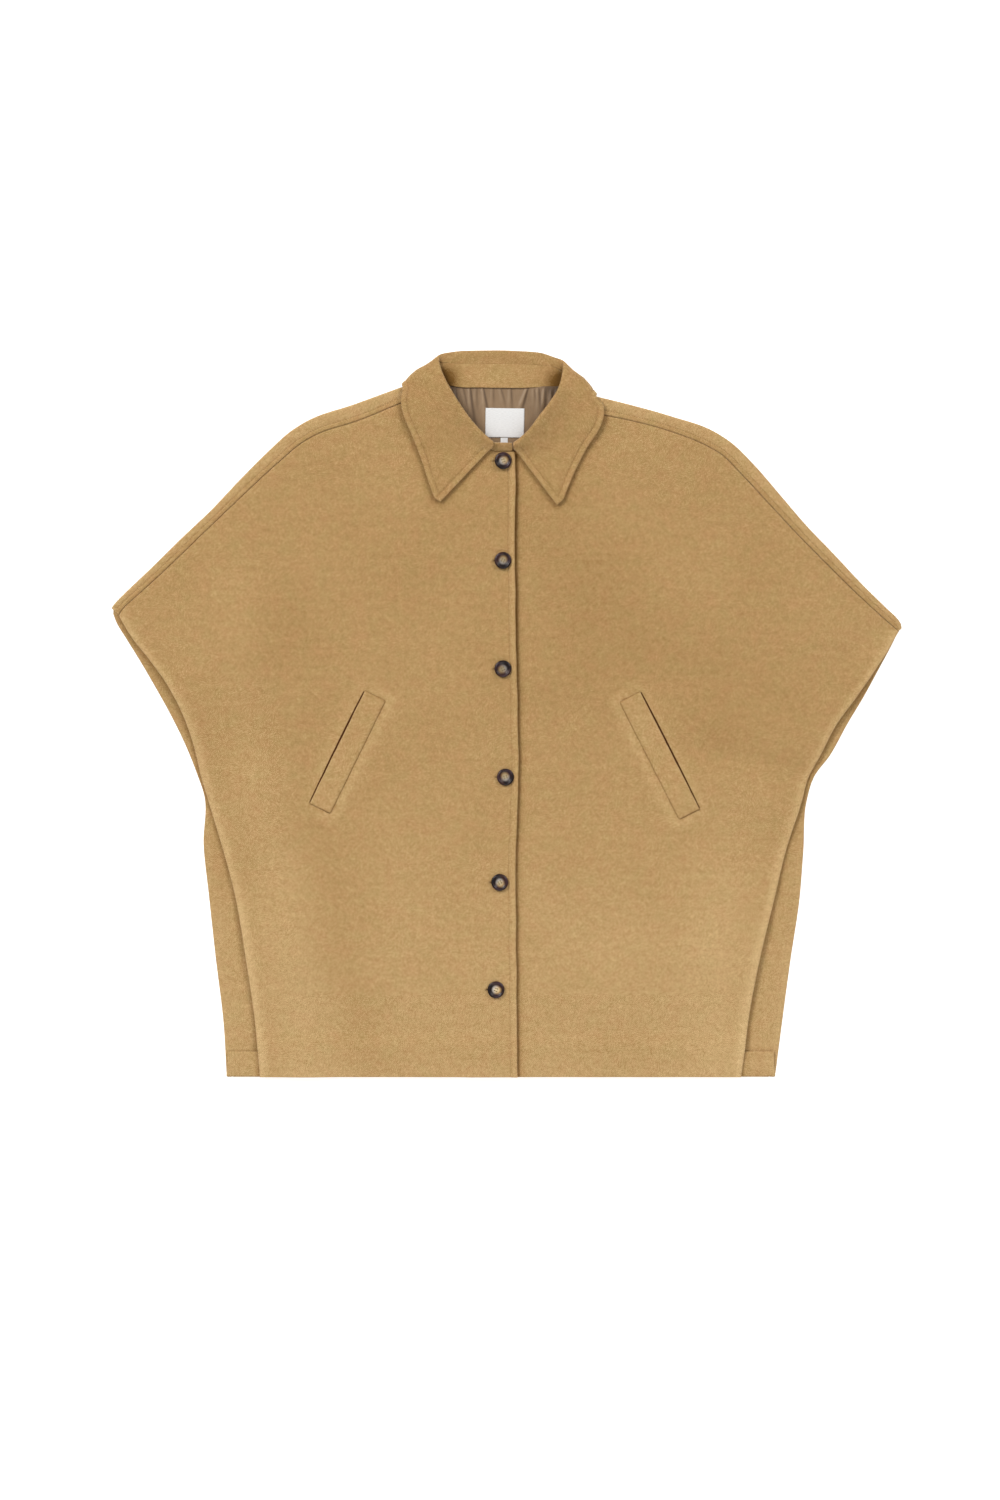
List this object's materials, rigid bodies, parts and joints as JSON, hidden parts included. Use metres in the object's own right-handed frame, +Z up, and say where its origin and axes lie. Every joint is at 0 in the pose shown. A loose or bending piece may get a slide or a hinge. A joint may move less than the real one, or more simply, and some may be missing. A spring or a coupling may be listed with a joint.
{
  "type": "wool cape",
  "caption": "Open-sided wool cape laid flat, front up, with a pointed shirt collar, a buttoned front and slanted welt pockets.",
  "frame": {"origin": "under the middle of the laid-out cape, on the surface it lies on", "axes": "+X to the wearer's left, across the cape; +Y from hem to collar; +Z up out of the front"},
  "size_m": [0.9865, 0.9072, 0.0208],
  "materials": {
    "wool": "camel melange wool twill with a soft brushed nap",
    "lining": "taupe satin with a soft sheen",
    "label": "white woven satin, blank",
    "button": "polished dark brown horn look with a paler dished middle"
  },
  "bodies": {
    "root": {"back": "wool", "front_right": "wool", "front_left": "wool", "collar_fall": "wool", "collar_stand": "wool", "welt_right": "wool", "welt_left": "wool", "back_neck_lining": "lining", "neck_label": "label", "size_tab": "label", "button_1": "button", "button_2": "button", "button_3": "button", "button_4": "button", "button_5": "button", "button_6": "button"}
  },
  "joints": []
}
